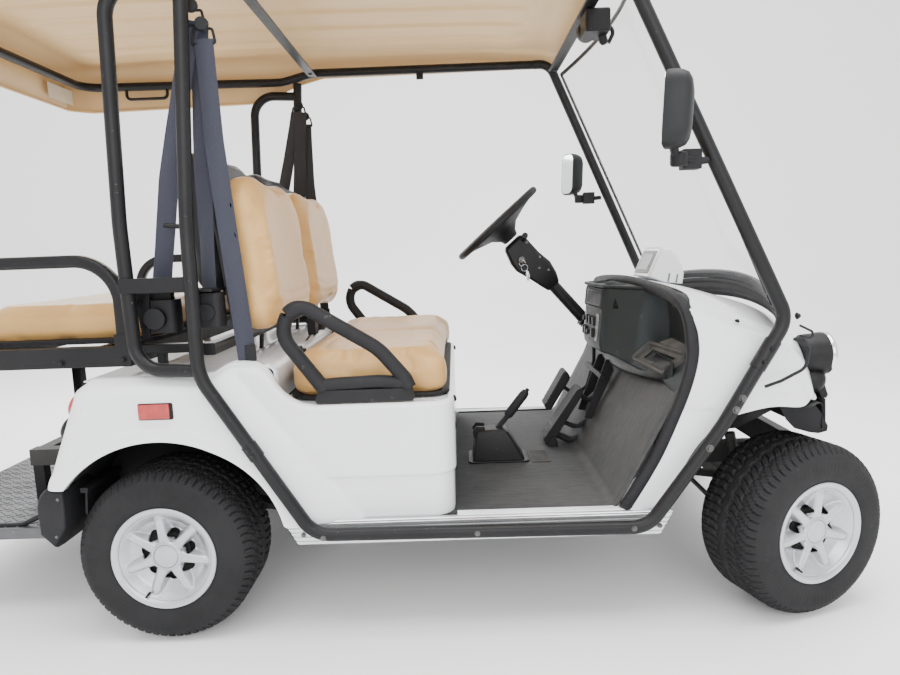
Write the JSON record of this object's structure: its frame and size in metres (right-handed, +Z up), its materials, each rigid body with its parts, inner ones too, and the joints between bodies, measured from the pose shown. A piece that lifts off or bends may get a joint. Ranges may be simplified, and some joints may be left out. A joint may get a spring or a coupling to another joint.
{
  "type": "four-seat electric golf cart",
  "caption": "Open electric golf cart with a moulded roof, bowed windscreen, padded front bench, rear-facing bench with footrest, steered front wheels and a lifting seat cushion.",
  "frame": {"origin": "middle of the cart's footprint on the ground", "axes": "+X forward, +Y to the driver's left, +Z up"},
  "size_m": [2.7566, 1.4042, 1.78],
  "materials": {
    "black_steel": "satin black paint, dusty underneath",
    "floor_rubber": "dark ribbed rubber mat, worn",
    "ribbed_aluminium": "ribbed extrusion, lightly scratched",
    "black_tube": "satin powder coat with small scuffs",
    "tan_roof": "moulded tan plastic",
    "clear_screen": "clear acrylic with light scratches",
    "black_plastic": "fine-grained black plastic",
    "white_body": "gloss white moulded body",
    "dash_plastic": "grained dark grey-green plastic",
    "grip_rubber": "soft black grip",
    "pedal_black": "black paint, worn at the edges",
    "tan_vinyl": "grained tan vinyl",
    "seat_shell": "dark grey moulded shell",
    "tread_plate": "dark raised-lozenge tread plate",
    "lamp_lens": "clear and red lamp lenses in black housings",
    "belt_webbing": "blue-grey woven webbing",
    "battery_case": "plain battery cases",
    "axle_steel": "black painted cast and rolled steel",
    "mirror_shell": "grained dark grey shell",
    "tyre_rubber": "black rubber with small sipes",
    "rim_silver": "silver lacquered wheel"
  },
  "bodies": {
    "root": {"chassis_frame": "black_steel", "floor_pan": "floor_rubber", "sills": "ribbed_aluminium", "side_hoop_left": "black_tube", "side_hoop_right": "black_tube", "rear_hoop_left": "black_tube", "rear_hoop_right": "black_tube", "roof_frame": "black_tube", "canopy": "tan_roof", "windshield": "clear_screen", "windshield_trim": "black_plastic", "front_cowl": "white_body", "wheel_liners": "black_plastic", "dashboard": "dash_plastic", "display_pod": "white_body", "steering_column": "black_plastic", "pedals": "pedal_black", "parking_brake": "pedal_black", "rear_body": "white_body", "front_backrest": "tan_vinyl", "rear_backrest": "seat_shell", "rear_seat_cushion": "tan_vinyl", "rear_seat_frame": "black_tube", "hip_restraints": "black_plastic", "footrest": "tread_plate", "rear_bumper": "black_plastic", "lamps": "lamp_lens", "seat_belts": "belt_webbing", "battery_block": "battery_case", "rear_axle": "axle_steel", "front_axle": "axle_steel", "mirrors": "mirror_shell"},
    "steering_wheel": {"steering_wheel": "grip_rubber"},
    "knuckle_left": {"knuckle_left": "axle_steel"},
    "knuckle_right": {"knuckle_right": "axle_steel"},
    "tie_rod": {"tie_rod": "axle_steel"},
    "seat_lid": {"seat_cushion": "tan_vinyl"},
    "wheel_front_left": {"tyre_front_left": "tyre_rubber", "rim_front_left": "rim_silver"},
    "wheel_front_right": {"tyre_front_right": "tyre_rubber", "rim_front_right": "rim_silver"},
    "wheel_rear_left": {"tyre_rear_left": "tyre_rubber", "rim_rear_left": "rim_silver"},
    "wheel_rear_right": {"tyre_rear_right": "tyre_rubber", "rim_rear_right": "rim_silver"}
  },
  "joints": [
    {"name": "steering_turn", "type": "hinge", "parent": "root", "child": "steering_wheel", "pos_m": [0.47366, 0.28, 1.01], "axis": [-0.6561, 0, 0.7547], "range_deg": [-686, 154]},
    {"name": "steer_left", "type": "hinge", "parent": "root", "child": "knuckle_left", "pos_m": [1.11166, 0.39, 0.2295], "axis": [0, 0, 1], "range_deg": [-49, 11]},
    {"name": "steer_right", "type": "hinge", "parent": "root", "child": "knuckle_right", "pos_m": [1.11166, -0.39, 0.2295], "axis": [0, 0, 1], "range_deg": [-49, 11]},
    {"name": "tie_rod_slide", "type": "slide", "parent": "root", "child": "tie_rod", "axis": [0, 1, 0], "range_m": [-0.0125, 0.0535]},
    {"name": "spin_front_left", "type": "hinge", "parent": "knuckle_left", "child": "wheel_front_left", "pos_m": [1.08288, 0.47358, 0.2295], "axis": [-0.3256, 0.9455, 0], "continuous": true},
    {"name": "spin_front_right", "type": "hinge", "parent": "knuckle_right", "child": "wheel_front_right", "pos_m": [1.14044, -0.47358, 0.2295], "axis": [-0.3256, 0.9455, 0], "continuous": true},
    {"name": "spin_rear_left", "type": "hinge", "parent": "root", "child": "wheel_rear_left", "pos_m": [-0.50834, 0.4975, 0.2295], "axis": [0, 1, 0], "continuous": true},
    {"name": "spin_rear_right", "type": "hinge", "parent": "root", "child": "wheel_rear_right", "pos_m": [-0.50834, -0.4975, 0.2295], "axis": [0, 1, 0], "continuous": true},
    {"name": "seat_lift", "type": "hinge", "parent": "root", "child": "seat_lid", "pos_m": [-0.21034, 0, 0.711], "axis": [0, -1, 0], "range_deg": [0, 60]}
  ],
  "couplings": [
    {"joint": "steer_left", "follows": "steering_turn", "ratio": 0.071429},
    {"joint": "steer_right", "follows": "steering_turn", "ratio": 0.071429},
    {"joint": "tie_rod_slide", "follows": "steering_turn", "m_per_rad": -0.0043657}
  ]
}
